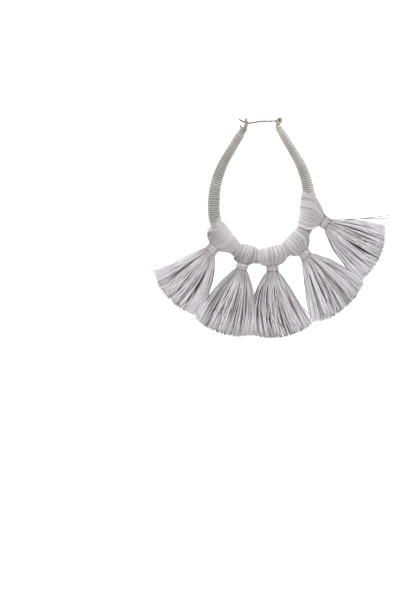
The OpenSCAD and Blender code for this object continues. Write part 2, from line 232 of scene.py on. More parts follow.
def winding():
    """The two threads, wound side by side, and between them the glued core that shows in the grooves,
    painted dark as painted shade in the grooves and lighter where glue fills them.
    """
    turns = (LEFT_END + RIGHT_END) / WIND_PITCH
    parts = []
    for thread in WIND_THREADS:
        turn_at = np.linspace(thread.start, turns - 1 + thread.start, int(turns * WIND_STEPS))
        s = -LEFT_END + turn_at * WIND_PITCH
        wander = smooth_noise(turn_at, *WIND_WANDER)
        sink = WIND_D / 2 + thread.deeper - WIND_PROUD
        radius = wound_radius(s) - sink + smooth_noise(turn_at, *WIND_UNEVEN)
        path = round_hoop(np.clip(s + wander, -LEFT_END, RIGHT_END), 2 * math.pi * turn_at, radius)
        outer = np.maximum(np.cos(2 * math.pi * turn_at), INNER_SIDE)
        # Painted light and shade of the ribs: one thread of each pair is painted lighter, the deeper one
        # darker.
        tone = np.interp(s, LOOK_AT, WIND_TONE) + np.interp(s, RIBS_AT, WIND_RIB_PAINTED_SHADING) * thread.lighter
        # Painted light: each turn's outer side is painted lighter; where the value is below 0 it gets painted
        # shade.
        tone = tone + np.interp(s, LOOK_AT, WIND_PAINTED_SIDE_LIGHT) * outer
        for shade in WIND_SHADES:
            tone = tone + smooth_noise(turn_at, *shade)
        parts.append(sweep(path[None], WIND_D / 2, WIND_SIDES, along_hoop(s)[None], tone[None]))
    s = np.linspace(-LEFT_END, RIGHT_END, CORE_POINTS)
    path = round_hoop(s, 0 * s, 0 * s)
    glue = np.interp(s, GLUE_AT, WIND_GLUE)
    filled = wound_radius(s) - WIND_D * CORE_SINK + glue
    # The core's low tone is painted shade in the grooves; glue makes it lighter.
    parts.append(sweep(path[None], filled[None], CORE_SIDES, UP, CORE_PAINTED_SHADE + GLUE_TONE * glue[None]))
    return parts


def linear(colour):
    """An sRGB hex colour as linear red, green, blue and alpha."""
    parts = [int(colour[i:i + 2], 16) / 255 for i in (1, 3, 5)]
    return [p / 12.92 if p < 0.04045 else ((p + 0.055) / 1.055) ** 2.4 for p in parts] + [1.0]


def add(material, kind, settings=None, links=None):
    """Adds a node, with its settings by input or property name and its links by input name."""
    made = material.node_tree.nodes.new(kind)
    for key, value in (settings or {}).items():
        if isinstance(key, int) or key in made.inputs:
            made.inputs[key].default_value = value
        else:
            setattr(made, key, value)
    for key, socket in (links or {}).items():
        material.node_tree.links.new(socket, made.inputs[key])
    return made


def new_material(name):
    material = bpy.data.materials.new(name)
    material.use_nodes = True
    material.node_tree.nodes.clear()
    return material


# A filament is 0.02 mm wide, and is drawn coarser, so that it shows: FILAMENT_STRETCH and FILAMENT_SCALE
# give 26 cells of noise round a thread, so that a light filament and a dark one take 0.11 mm on the winding
# and 0.07 mm on the skirts. Along the thread a cell is 1.1 mm long. THREADS_APART gives each thread its own
# part of the noise, by its tone.
FILAMENT_STRETCH = (1.6, 1.6, 0.35)
FILAMENT_SCALE = 2.6
FILAMENT_DETAIL = {"Detail": 3.0, "Roughness": 0.6}
THREADS_APART = (37.0, 61.0, 83.0)
DYE_UNEVEN = 0.3
DARK_AT = 0.14
MIDDLE_AT = 0.52
VISCOSE_IOR = 1.53
SHEEN_ROUGHNESS = 0.4
FILAMENT_BUMP = 0.5


def viscose(name, colours, roughness, sheen, relief):
    """Bright viscose filament, spun and dyed: smooth fibres that give a silky streak along every thread,
    with a soft sheen at its edges. Its four colours go from deep in the grooves to fully lit."""
    material = new_material(name)
    strand = add(material, "ShaderNodeAttribute", {"attribute_name": "strand"})
    tone = add(material, "ShaderNodeAttribute", {"attribute_name": "tone"})
    stretch = add(material, "ShaderNodeVectorMath", {"operation": "MULTIPLY", 1: FILAMENT_STRETCH},
                  {0: strand.outputs["Vector"]})
    apart = add(material, "ShaderNodeVectorMath", {"operation": "SCALE", 0: THREADS_APART},
                {"Scale": tone.outputs["Fac"]})
    place = add(material, "ShaderNodeVectorMath", {"operation": "ADD"},
                {0: stretch.outputs[0], 1: apart.outputs[0]})
    filaments = add(material, "ShaderNodeTexNoise", {"Scale": FILAMENT_SCALE, **FILAMENT_DETAIL},
                    {"Vector": place.outputs[0]})
    dye = add(material, "ShaderNodeMath", {"operation": "MULTIPLY_ADD", 1: DYE_UNEVEN, 2: -DYE_UNEVEN / 2},
              {0: filaments.outputs["Fac"]})
    shade = add(material, "ShaderNodeMath", {"operation": "ADD", "use_clamp": True},
                {0: tone.outputs["Fac"], 1: dye.outputs[0]})
    ramp = add(material, "ShaderNodeValToRGB", links={"Fac": shade.outputs[0]})
    ramp.color_ramp.elements.new(DARK_AT)
    ramp.color_ramp.elements.new(MIDDLE_AT)
    for element, colour in zip(ramp.color_ramp.elements, colours):
        element.color = linear(colour)
    bump = add(material, "ShaderNodeBump", {"Strength": FILAMENT_BUMP, "Distance": relief * MM},
               {"Height": filaments.outputs["Fac"]})
    surface = add(material, "ShaderNodeBsdfPrincipled",
                  {"IOR": VISCOSE_IOR, "Roughness": roughness, "Sheen Weight": sheen,
                   "Sheen Roughness": SHEEN_ROUGHNESS},
                  {"Base Color": ramp.outputs["Color"], "Normal": bump.outputs["Normal"]})
    add(material, "ShaderNodeOutputMaterial", links={"Surface": surface.outputs[0]})
    return material


# A little duller and warmer than the floss of the tassels, because it was handled and glued.
wound_viscose = viscose("wound_viscose_thread", ("#7A756D", "#89847D", "#B8B5B0", "#E3E2E0"),
                        roughness=0.5, sheen=0.12, relief=0.03)

make_piece("hoop_winding", winding(), wound_viscose, "earring", "hoop")


# The tassels
# Each is a hank of viscose threads folded over the foot of the hoop, drawn together under it and cut to
# one length, so that it falls in a fan. The threads of the skirt cling to one another in locks.

# One row for each tassel. Directions and places round the hoop are in degrees, and a pair of values is for
# the two edges of the tassel.
# cap: from where to where it covers the foot. seat, lie, reach: where its neck hangs, which way, how far.
# root, tip, length: the way the skirt's edges leave the neck and end, and their length.
# lead: how far the cap's threads run ahead on their way over the hoop. edge: the cap's thickness left at
# its edges. belly, swell: how its threads bulge to the side and outwards. inner: its bulge inside the hoop.
# pitch: of its pairs of threads. apart: how many threads lie beside it. astray: how many over the binding.
# tone, ends, pale: the skirt's tone, and how much lighter its ends and its edges are. wisps: the directions
# of the wisps' ends. gap: how far along its threads the cap's first pair of threads is painted dark, as
# painted shade of a small gap.
Tassel = namedtuple("Tassel", "cap seat lie reach root tip length lead edge belly swell inner pitch apart"
                    " astray tone ends pale wisps gap", defaults=(0,))
TASSELS = [
    Tassel(cap=(-66.3, -31.4), seat=-53.8, lie=228, reach=1.24, root=(203, 272), tip=(203.5, 256),
           length=(0.95, 1.02), lead=(8, 0), edge=(0.2, 0.6), belly=(3.4, 0.7), swell=(1.4, 1.0), inner=0.5,
           pitch=0.56, apart=4, astray=14, tone=0.37, ends=0.51, pale=(0.4, 0.12), wisps=(200, 202, 258)),
    Tassel(cap=(-30.9, -5.2), seat=-19.9, lie=256, reach=0.99, root=(220, 292), tip=(229.8, 277.5),
           length=(1.05, 1.04), lead=(0, 0), edge=(0.4, 0.7), belly=(2.9, 1.3), swell=(1.3, 1.3), inner=0.55,
           pitch=0.72, apart=0, astray=2, tone=0.34, ends=0.46, pale=(0.1, 0), wisps=(226, 280), gap=-0.81),
    Tassel(cap=(-4.7, 30.6), seat=12.3, lie=273, reach=0.975, root=(234, 306), tip=(255, 303.5),
           length=(1.04, 1.03), lead=(0, 0), edge=(0.5, 0.4), belly=(1.2, 2.8), swell=(2.2, 2.3), inner=0.3,
           pitch=0.8, apart=0, astray=2, tone=0.36, ends=0.34, pale=(0, 0.1), wisps=(252, 306, 309)),
    Tassel(cap=(31.1, 64.0), seat=47.2, lie=304, reach=1.13, root=(279, 344), tip=(278, 332),
           length=(1.04, 0.99), lead=(0, 0), edge=(0.9, 0.4), belly=(0.9, 1.8), swell=(2.7, 1.2), inner=0.3,
           pitch=0.66, apart=0, astray=12, tone=0.43, ends=0.35, pale=(0.2, 0.1), wisps=(275, 335, 338)),
    Tassel(cap=(64.5, 108.3), seat=85.0, lie=328, reach=1.4, root=(292, 364), tip=(304, 356),
           length=(1.03, 0.92), lead=(0, -4), edge=(0.9, 0.2), belly=(0.5, 1.2), swell=(1.0, 1.1), inner=0.3,
           pitch=0.74, apart=0, astray=7, tone=0.38, ends=0.58, pale=(0.14, 0.42), wisps=(301, 364, 367)),
]

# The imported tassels' own sizes.
CAP_T = 1.3
NECK_D = 3.9
NECK_L = 2.5
NECK_DROP = 5.0
SKIRT_L = 25.6
TIP_DEPTH = 1.7


def mix(a, b, t):
    return a + (b - a) * t


def between(pair, f):
    """The value between a pair at f, which runs from -1 to 1 across a tassel."""
    return mix(pair[0], pair[1], (f + 1) / 2)


def ease(t):
    u = np.clip(t, 0, 1)
    return u * u * (3 - 2 * u)


def change(at, start, run):
    """Goes smoothly from 0 to 1, from start on and over run."""
    return ease((at - start) / run)


def heading(degrees):
    a = np.radians(degrees)
    return np.stack([np.cos(a), np.sin(a)], -1)


def bend(a, knee, b, t):
    return mix(mix(a, knee, t), mix(knee, b, t), t)


def foot_run(turn):
    return np.radians(turn) * BOWL_R


def neck_middle(tassel):
    x, y, _ = hoop_path(np.asarray(foot_run(tassel.seat)))
    return np.array([x, y]) + heading(tassel.lie) * NECK_DROP * tassel.reach


# The cap. A thread of it goes from the neck up to the hoop in CAP_STEPS, over the hoop and back down. It
# leaves the hoop square to it, bows out and gathers at the neck, FOOT_RISE outside the hank. A CROWN is
# the power by which a shape falls off towards the cap's edges.
CAP_STEPS = np.array([0.1, 0.2, 0.32, 0.45, 0.58, 0.71, 0.83, 0.93, 1.0])
OVER_POINTS = 15
FOOT_SPREAD = 0.96
FOOT_RISE = 0.48
CAP_CROWN = 2.5
INNER_CROWN = 4
BOW_CROWN = 1.5
BOW_APART = 0.8
LEAVE = 0.45
GATHER = 0.3
CAP_SIDES = 6


def cap_path(tassel, f, sink):
    """Where a thread at f lies over the hoop, sink below the cap's surface: front, inner side, back."""
    turn_at = between(tassel.cap, f)
    lead = between(tassel.lead, f)
    s = foot_run(turn_at)
    x, y, turn = hoop_path(np.asarray(s))
    start = np.array([x, y])
    side = 0 if f < 0 else 1
    outer = min(abs(f), 1)
    r = hoop_radius(np.asarray(s)) + CAP_T * (1 - (1 - tassel.edge[side]) * outer ** CAP_CROWN) - sink
    across = min(max(f, -1), 1) * FOOT_SPREAD
    foot = neck_middle(tassel) - heading(tassel.lie) * NECK_L / 2
    foot = foot + heading(tassel.lie + 90) * across * (NECK_D / 2 + FOOT_RISE - sink)
    neck_z = (NECK_D / 2 + FOOT_RISE - sink) * math.sqrt(1 - across ** 2)
    bow = outer ** BOW_CROWN + BOW_APART * max(abs(f) - 1, 0)
    knee = (start + foot) / 2 + heading(tassel.lie) * bow * tassel.swell[side]
    knee = knee + heading(tassel.lie + 90) * math.copysign(bow * tassel.belly[side], f)
    away = start + heading(math.degrees(turn) - 90) * LEAVE * np.linalg.norm(knee - start)
    u = CAP_STEPS[:, None]
    level = mix(bend(start, away, knee, u), bend(away, mix(knee, foot, GATHER), foot, u), u)
    height = mix(neck_z, r, np.sqrt(1 - CAP_STEPS ** 2))
    front = np.column_stack([level, height])[::-1]
    back = np.column_stack([level, -height])
    angle = np.radians(np.linspace(90, 270, OVER_POINTS))
    proud = tassel.inner * (1 - outer ** INNER_CROWN) * np.maximum(-np.cos(angle), 0)
    over = round_hoop(foot_run(turn_at + lead * np.cos(angle)), angle, r + proud)
    return np.concatenate([front, over, back])


# The close winding under a cap. Where threads lie apart from the cap, it starts some degrees further in.
UNDER_PITCH = 0.5
UNDER_STEPS = 20
UNDER_IN = 1.5
UNDER_TONE = 0.5
UNDER_SHADES = (1.0, 0.1)


def under_cap(tassel):
    """A close winding of the same thread round the hoop, which the cap hides but for its gaps."""
    low = foot_run(tassel.cap[0] + UNDER_IN * (tassel.apart > 0))
    turns = (foot_run(tassel.cap[1]) - low) / UNDER_PITCH
    turn_at = np.linspace(0, turns, int(turns * UNDER_STEPS))
    s = low + turn_at * UNDER_PITCH
    path = round_hoop(s, 2 * math.pi * turn_at, hoop_radius(s) + WIND_PROUD)
    tone = UNDER_TONE + smooth_noise(turn_at, *UNDER_SHADES)
    return sweep(path[None], UNDER_PITCH / 2, CAP_SIDES, along_hoop(s)[None], tone[None])


# The cap's layers of threads: where they lie across it, their width and depth in shares of the pitch of its
# pairs, and their tone. APART and SLIT say where, beyond the edge at -1, the threads lie beside a cap and
# in the slit next to it, whose threads are painted dark just above the neck, between two places along them,
# as painted shade in the slit. CAP_WANDER and CAP_SHADES are given by how many points of a thread a stretch
# lasts, and its size.
Layer = namedtuple("Layer", "name f width depth tone")
PAIR_HALF = 0.4
PAIR_SCATTER = 0.12
PAIR_SHADES = 0.06
GROOVE_EDGE = 0.99
APART = (-1.34, -1.14)
SLIT = (-1.06, -0.99)
SLIT_THREADS = 3
CAP_SINK = (0, 0.05)
CAP_WANDER = (7, 0.02)
CAP_SHADES = (5, 0.05)
CAP_THREAD_SHADES = 0.05
CAP_UNEVEN = (0.9, 1.1)
CAP_NARROW = 0.5
CAP_PAINTED_LIGHT = 0.14
GAP_PAINTED_SHADE = 1.5
GAP_RUN = 0.07
SLIT_PAINTED_SHADE = 2
SLIT_PAINTED_SHADE_AT = (-0.81, -0.72)
SLIT_PAINTED_SHADE_RUN = 0.04


def cap(tassel):
    """Threads that lie together in pairs, over two layers painted darker, as painted shade, that show in the
    grooves between pairs.
    """
    parts = [under_cap(tassel)]
    pairs = int(round(foot_run(tassel.cap[1] - tassel.cap[0]) / tassel.pitch))
    middle = (np.arange(pairs) + 0.5) / pairs * 2 - 1 + random.normal(0, PAIR_SCATTER / pairs, pairs)
    pair_tone = random.normal(0, PAIR_SHADES, pairs)
    twins = np.concatenate([middle - PAIR_HALF / pairs, middle + PAIR_HALF / pairs])
    grooves = np.clip(np.arange(pairs + 1) / pairs * 2 - 1, -GROOVE_EDGE, GROOVE_EDGE)
    if tassel.apart:
        twins = np.concatenate([twins, np.linspace(*APART, tassel.apart)])
    # The grooves and under layers get a low tone: painted shade between the pairs.
    layers = [
        Layer("twins", twins, 0.42, 0.0, 0.67),
        Layer("grooves", grooves, 0.5, 0.32, 0.26),
        Layer("under", middle, 0.95, 0.75, 0.4),
    ]
    if tassel.apart:
        layers.append(Layer("slit", np.linspace(*SLIT, SLIT_THREADS), 0.6, -0.1, 0.5))
    for layer in layers:
        count = len(layer.f)
        thread = layer.width * tassel.pitch
        sink = thread / 2 + layer.depth * tassel.pitch + random.uniform(*CAP_SINK, count)
        paths = np.stack([cap_path(tassel, f, deep) for f, deep in zip(layer.f, sink)])
        points = paths.shape[1]
        wander = np.stack([smooth_noise(np.arange(points), *CAP_WANDER) for k in range(count)])
        paths = paths + unit(paths - paths.mean(axis=(0, 1))) * wander[..., None]
        place = np.linspace(-1, 1, points)
        narrow = 1 - CAP_NARROW * np.abs(place) ** 3
        thick = thread / 2 * random.uniform(*CAP_UNEVEN, count)[:, None] * narrow
        tone = np.stack([smooth_noise(np.arange(points), *CAP_SHADES) for k in range(count)])
        tone = tone + layer.tone + random.normal(0, CAP_THREAD_SHADES, count)[:, None]
        if layer.name == "twins":
            tone[:2 * pairs] += np.tile(pair_tone, 2)[:, None]
        # Painted shade: the first pair of threads is painted dark round the place gap, for a small shaded gap.
        if layer.name == "twins" and tassel.gap:
            tone[[0, pairs]] -= GAP_PAINTED_SHADE * (1 - change(np.abs(place - tassel.gap), 0, GAP_RUN))
        # Painted shade: the slit's threads are painted dark just above the neck, where the slit lies in shade.
        if layer.name == "slit":
            dark = [change(place, start, SLIT_PAINTED_SHADE_RUN) for start in SLIT_PAINTED_SHADE_AT]
            tone = tone - SLIT_PAINTED_SHADE * (dark[0] - dark[1])
        # Painted light: the cap is painted lighter over the hoop and darker towards the neck at both ends of
        # its threads.
        tone = tone + CAP_PAINTED_LIGHT * (1 - 2 * place ** 2)
        over = np.broadcast_to(along_hoop(foot_run(between(tassel.cap, layer.f)))[:, None], paths.shape)
        parts.append(sweep(paths, thick, CAP_SIDES, over, tone))
    return parts


# The skirt. Its threads are drawn at 0.27 mm, coarser than the real ones, and there are fewer of them. Two
# make a lock, and a few lie loose on top, painted lighter as painted highlights. In each layer light and
# dark locks take turns, but for OUT_OF_TURN.
# LOCK_TOP is just under 1, which keeps the highest lock in the last layer. A lock's end turns aside by some
# LOCK_TURN degrees, and less near the fan's edges. LOCK_HOLD says how well its threads keep together at the
# root, LOCK_DEPTH how far apart they lie in height, and LOCK_WIDTH across, at the root and at the end.
LOCKS = 380
LOCK_THREADS = 2
LOCK_LAYERS = 7
LOCK_TOP = 0.999
LOCK_TONE = 0.64
LOCK_SCATTER = 0.018
LOCK_TURN = 1.2
LOCK_TURN_REACH = 1.15
LOCK_TURN_LEAST = 0.3
LOCK_HOLD = 0.85
LOCK_DEPTH = 0.04
LOCK_WIDTH = (0.004, 0.012)
OUT_OF_TURN = 0.2
LOOSE_THREADS = 46
LOOSE_PAINTED_LIGHT = 0.52
LOOSE_THIN = 0.85
LOOSE_SPREAD = 3
LOOSE_TURN = 4.0
LOOSE_HEIGHT = 1.04
SKIRT_THREAD = 0.27
SKIRT_POINTS = 16
SKIRT_SIDES = 4
SKIRT_EDGE = 1.08
SKIRT_MOST = 1.18
SKIRT_UNEVEN = (0.8, 1.1)
THREAD_NARROW = 0.5

Locks = namedtuple("Locks", "f height tone turn")


def skirt_locks():
    """The locks of one skirt: their places across the fan, their heights in the hank from 0 to 1, how light
    or dark they are by how they lie to the light, and how far their ends turn aside."""
    f = ((np.arange(LOCKS) + 0.5) / LOCKS * 2 - 1) * SKIRT_EDGE + random.normal(0, LOCK_SCATTER, LOCKS)
    height = random.permutation(np.linspace(0, LOCK_TOP, LOCKS))
    side = np.zeros(LOCKS)
    for layer in range(LOCK_LAYERS):
        inside = np.flatnonzero((height * LOCK_LAYERS).astype(int) == layer)
        side[inside] = np.where(np.arange(len(inside)) % 2, 1, -1)
    side = side * np.where(random.uniform(0, 1, LOCKS) < OUT_OF_TURN, -1, 1)
    tone = LOCK_TONE * side * np.sqrt(random.uniform(0, 1, LOCKS))
    return Locks(f, height, tone, random.normal(0, LOCK_TURN, LOCKS))


# Light and dark in the skirt. own: a thread's own tone, which shows less at the root and the end. deep: how
# much darker the lowest threads are painted, as painted shade under the upper ones. rim: the fan's two
# edges, lighter and more even. A run is where a change starts and the share of the length, or of the fan's
# half width, that it takes.
OWN_SHADES = 0.1
OWN_ROOT = 0.35
OWN_END = 0.7
OWN_ROOT_RUN = (0, 0.3)
OWN_END_RUN = (0.75, 0.25)
DEEP_PAINTED_SHADE = 0.42
DEEP_UP_TO = 0.85
RIM_RUN = (0.62, 0.4)
RIM_TONE = 0.12
RIM_OWN = 0.45
RIM_DEEP = 0.5
PALE_RUN = (0.45, 0.5)
PALE_ALONG = (0, 0.7)
ENDS_RUN = (0.6, 0.3)
# Painted shade: just at their cut ends the threads are painted darker, over CUT_RUN.
CUT_PAINTED_SHADE = 0.16
CUT_RUN = (0.93, 0.05)


def skirt_tone(tassel, f, h, steps, own):
    """The tone of threads at f across the fan and h up the hank, by steps along them."""
    rim = change(np.abs(f), *RIM_RUN)
    shows = mix(OWN_ROOT, 1, change(steps, *OWN_ROOT_RUN))
    own = own[:, None] * shows * mix(1, OWN_END, change(steps, *OWN_END_RUN)) * (1 - RIM_OWN * rim)
    # Painted shade: the lowest threads of the hank are painted darker, where those above shade them.
    deep = DEEP_PAINTED_SHADE * np.clip(1 - h / DEEP_UP_TO, 0, 1)[:, None]
    deep = deep * change(steps, *OWN_ROOT_RUN) * (1 - RIM_DEEP * rim)
    pale = np.where(f < 0, tassel.pale[0], tassel.pale[1])
    pale = pale * change(np.abs(f), *PALE_RUN) * change(steps, *PALE_ALONG)
    tone = tassel.tone + own - deep + tassel.ends * change(steps, *ENDS_RUN) + RIM_TONE * rim + pale
    # The last term is painted shade at the cut ends.
    return tone - CUT_PAINTED_SHADE * change(steps, *CUT_RUN)


# How the ends are cut, in shares of the length: most a little short, those on top more so, a few long.
CUT = (0.97, 1.012)
TOP_SHORT = 0.03
LONG_SHARE = 0.03
LONG_BY = (0.01, 0.04)

# How the hank opens from the neck to the fan and comes down on the table, over shares of the length. A
# thread leaves the neck as it lies in the round hank, puffs out a little and has WAVES of its own.
ROOT_SPREAD = 0.9
ROOT_IN = 0.3
ROOT_ROUND = 0.95
ROOT_LEAST = 0.05
ROOT_PUFF = 0.5
PUFF_RISE = 0.03
PUFF_FALL = 0.6
FAN_OPENS = 0.35
LOCK_OPENS = 1.1
FLATTENS = 0.8
LANDS = 0.5
OFF_TABLE = 0.02
WAVE = (0.03, 0.16)
WAVES = (0.8, 2.2)
WAVE_GROWS = 0.5


def skirt(tassel):
    """Threads in narrow locks: each lock leaves the neck as part of the round hank and ends in its own place
    in the fan. The loose threads lie on top."""
    neck = neck_middle(tassel)
    lie = heading(tassel.lie)
    square = heading(tassel.lie + 90)
    locks = skirt_locks()
    lock = np.repeat(np.arange(LOCKS), LOCK_THREADS)
    lock = np.concatenate([lock, random.integers(0, LOCKS, LOOSE_THREADS)])
    count = len(lock)
    loose = np.arange(count) >= count - LOOSE_THREADS

    beside = random.uniform(-1, 1, count) * np.where(loose, LOOSE_SPREAD, 1)
    f_root = np.clip(mix(random.uniform(-1, 1, count), locks.f[lock], LOCK_HOLD), -1, 1)
    h = np.clip(locks.height[lock] + random.uniform(-LOCK_DEPTH, LOCK_DEPTH, count), 0, 1)
    h = np.where(loose, LOOSE_HEIGHT, h)

    t = np.linspace(0, 1, SKIRT_POINTS)
    reach = random.uniform(*CUT, count) - TOP_SHORT * h ** 2
    longer = random.uniform(0, 1, count) < LONG_SHARE
    reach = reach + np.where(longer, random.uniform(*LONG_BY, count), 0)
    steps = t[None] * reach[:, None]
    f = locks.f[lock][:, None] + beside[:, None] * mix(*LOCK_WIDTH, ease(steps * LOCK_OPENS))
    f = np.clip(mix(f_root[:, None], f, change(steps, 0, FAN_OPENS)), -SKIRT_MOST, SKIRT_MOST)

    root = neck + lie * (NECK_L / 2 - ROOT_IN) + square * (ROOT_SPREAD * f_root * NECK_D / 2)[:, None]
    length = SKIRT_L * between(tassel.length, f)
    turned = (locks.turn[lock] + np.where(loose, random.normal(0, LOOSE_TURN, count), 0))[:, None]
    turned = turned * ease(steps) * np.maximum(LOCK_TURN_REACH - np.abs(f), LOCK_TURN_LEAST)
    tip = neck + heading(between(tassel.tip, f) + turned) * length[..., None]
    span = np.linalg.norm(tip - root[:, None], axis=-1)
    knee = root[:, None] + heading(between(tassel.root, f)) * (span / 2)[..., None]
    level = bend(root[:, None], knee, tip, steps[..., None])
    puff = ROOT_PUFF * change(steps, 0, PUFF_RISE) * (1 - change(steps, 0, PUFF_FALL))
    level = level + square * (puff * f)[..., None]

    inside = np.sqrt(np.maximum(ROOT_ROUND ** 2 - (ROOT_SPREAD * f_root) ** 2, ROOT_LEAST))[:, None]
    half = mix(NECK_D / 2 * inside, TIP_DEPTH / 2, steps ** FLATTENS) + puff * inside
    middle = (half - HOOP_Z) * change(steps, 0, LANDS)
    height = middle + (2 * h[:, None] - 1) * (half - SKIRT_THREAD / 2)
    height = np.maximum(height, SKIRT_THREAD / 2 - HOOP_Z + OFF_TABLE)

    wave = random.uniform(*WAVE, count)[:, None] * change(steps, 0, WAVE_GROWS)
    phase = random.uniform(0, 2 * math.pi, count)[:, None]
    waves = random.uniform(*WAVES, count)[:, None]
    way = tip - root[:, None]
    aside = unit(np.stack([-way[..., 1], way[..., 0]], -1))
    level = level + aside * (wave * np.sin(phase + 2 * math.pi * waves * steps))[..., None]

    # Painted highlight: the loose threads on top are painted lighter.
    own = np.where(loose, LOOSE_PAINTED_LIGHT, locks.tone[lock]) + random.normal(0, OWN_SHADES, count)
    thick = SKIRT_THREAD / 2 * random.uniform(*SKIRT_UNEVEN, count)[:, None] * mix(1, THREAD_NARROW, t ** 4)
    thick = thick * np.where(loose, LOOSE_THIN, 1)[:, None]
    paths = np.concatenate([level, height[..., None]], -1)
    return sweep(paths, thick, SKIRT_SIDES, UP, skirt_tone(tassel, f, h, steps, own))


# The wisps, single threads drawn as thick as the skirt's and dark, so that they show on the white table.
WISP_REACH = (0.9, 0.99)
WISP_BOW = 1.2
WISP_ROOT = 0.4
WISP_RISE = 0.5
WISP_FALL = 1.3
WISP_TONE = 0.1


def wisps(tassel):
    """Single threads that strayed beside the skirt, each named by the direction of its end in degrees."""
    neck = neck_middle(tassel)
    t = np.linspace(0, 1, SKIRT_POINTS)[:, None]
    paths = []
    for end in tassel.wisps:
        side = 1 if end > tassel.lie else -1
        root = neck + heading(tassel.lie) * NECK_L / 2
        root = root + heading(tassel.lie + 90) * side * NECK_D * WISP_ROOT
        tip = neck + heading(end) * SKIRT_L * random.uniform(*WISP_REACH)
        knee = (root + tip) / 2 + heading(end + 90) * random.uniform(-WISP_BOW, WISP_BOW)
        height = mix(WISP_RISE, SKIRT_THREAD - HOOP_Z, ease(WISP_FALL * t[:, 0]))
        paths.append(np.column_stack([bend(root, knee, tip, t), height]))
    return sweep(np.stack(paths), SKIRT_THREAD / 2, SKIRT_SIDES, UP, WISP_TONE)


# Cool and silky: smooth untwisted floss, which takes the light in streaks and is dark between its locks.
tassel_viscose = viscose("tassel_viscose_floss", ("#453E42", "#70656B", "#B8B2B5", "#FAF8FA"),
                         roughness=0.34, sheen=0.15, relief=0.02)

for number, tassel in enumerate(TASSELS, 1):
    make_piece("tassel_%d_threads" % number, cap(tassel) + [skirt(tassel), wisps(tassel)], tassel_viscose,
               "earring", "tassel_%d" % number)


# The neck bindings
# The same thread wound tightly round each hank under the hoop and tied off, a few turns side by side. Some
# threads of the hank stray over it.

# BIND_WANDER, BIND_UNEVEN and BIND_SHADES are given by how many turns a stretch lasts, and its size.
BIND_D = 0.42
BIND_TURNS = 6
BIND_PROUD = 0.06
BIND_STEPS = 30
BIND_SIDES = 6
BIND_WANDER = (0.5, 0.05)
BIND_UNEVEN = (0.8, 0.03)
BIND_TONE = 0.64
BIND_SHADES = (0.9, 0.13)

# The hank itself, which shows between the turns.
HANK_POINTS = 4
HANK_SIDES = 24
HANK_PAST = 0.2
HANK_PROUD = 0.02
HANK_TONE = 0.4

# The stray threads run along the hank over STRAY_RUN, from below the cap to the skirt, and lie round it at
# STRAY_FROM in degrees, where 90 faces up. They dip at their ends, spread and grow thin.
STRAY_RUN = (-2.4, 3.4)
STRAY_POINTS = 12
STRAY_SIDES = 5
STRAY_R = 0.15
STRAY_PROUD = 0.06
STRAY_DIP = 0.035
STRAY_SPREAD = 0.07
STRAY_FROM = (15, 165)
STRAY_SLANT = 5
STRAY_TONE = 0.66
STRAY_SHADES = 0.1


def neck_winding(tassel):
    turn_at = np.linspace(0, BIND_TURNS, BIND_TURNS * BIND_STEPS)
    angle = 2 * math.pi * turn_at
    run = mix(-1, 1, turn_at / BIND_TURNS) * (NECK_L - BIND_D) / 2 + smooth_noise(turn_at, *BIND_WANDER)
    radius = NECK_D / 2 + BIND_D / 2 + BIND_PROUD + smooth_noise(turn_at, *BIND_UNEVEN)
    neck = neck_middle(tassel)
    lie = heading(tassel.lie)
    square = heading(tassel.lie + 90)
    level = neck + lie * run[:, None] + square * (radius * np.cos(angle))[:, None]
    path = np.column_stack([level, radius * np.sin(angle)])
    tone = BIND_TONE + smooth_noise(turn_at, *BIND_SHADES)
    over = np.array([lie[0], lie[1], 0.0])
    hank_run = np.linspace(-NECK_L / 2 - HANK_PAST, NECK_L / 2 + HANK_PAST, HANK_POINTS)
    hank = np.column_stack([neck + lie * hank_run[:, None], 0 * hank_run])
    return [
        sweep(path[None], BIND_D / 2, BIND_SIDES, over, tone[None]),
        sweep(hank[None], NECK_D / 2 + HANK_PROUD, HANK_SIDES, UP, HANK_TONE),
    ]


def stray_threads(tassel):
    """Threads that lie over the binding on its upper side, along the hank and spread towards their ends."""
    neck = neck_middle(tassel)
    lie = heading(tassel.lie)
    square = heading(tassel.lie + 90)
    along = np.linspace(*STRAY_RUN, STRAY_POINTS)
    proud = NECK_D / 2 + BIND_D + BIND_PROUD + STRAY_PROUD - STRAY_DIP * along ** 2
    spread = 1 + STRAY_SPREAD * along ** 2
    thick = STRAY_R * (1 - STRAY_SPREAD * along ** 2)
    parts = []
    for start in random.uniform(*STRAY_FROM, tassel.astray):
        around = np.radians(start + along * random.uniform(-STRAY_SLANT, STRAY_SLANT))
        level = neck + lie * along[:, None] + square * (proud * np.cos(around) * spread)[:, None]
        stray = np.column_stack([level, proud * np.sin(around)])
        tone = STRAY_TONE + random.normal(0, STRAY_SHADES)
        parts.append(sweep(stray[None], thick[None], STRAY_SIDES, UP, tone))
    return parts


for number, tassel in enumerate(TASSELS, 1):
    make_piece("neck_binding_%d" % number, neck_winding(tassel) + stray_threads(tassel), tassel_viscose,
               "earring", "binding_%d" % number)


# The catch
# A ferrule with a tall slotted prong and a short one, cast in one piece, silver-plated and tumbled. It is
# glued over the left end of the rod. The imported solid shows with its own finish.

# Between which values of its noise the tarnish sets in, the noise of the cast skin with its relief, and how
# much smoother and duller the metal gets than its own roughness.
TARNISH_FROM = 0.3
TARNISH_TO = 0.7
CAST_NOISE = {"Detail": 4.0, "Roughness": 0.55}
CAST_BUMP = 0.35
CAST_RELIEF = 0.02
SMOOTHER = 0.06
DULLER = 0.1


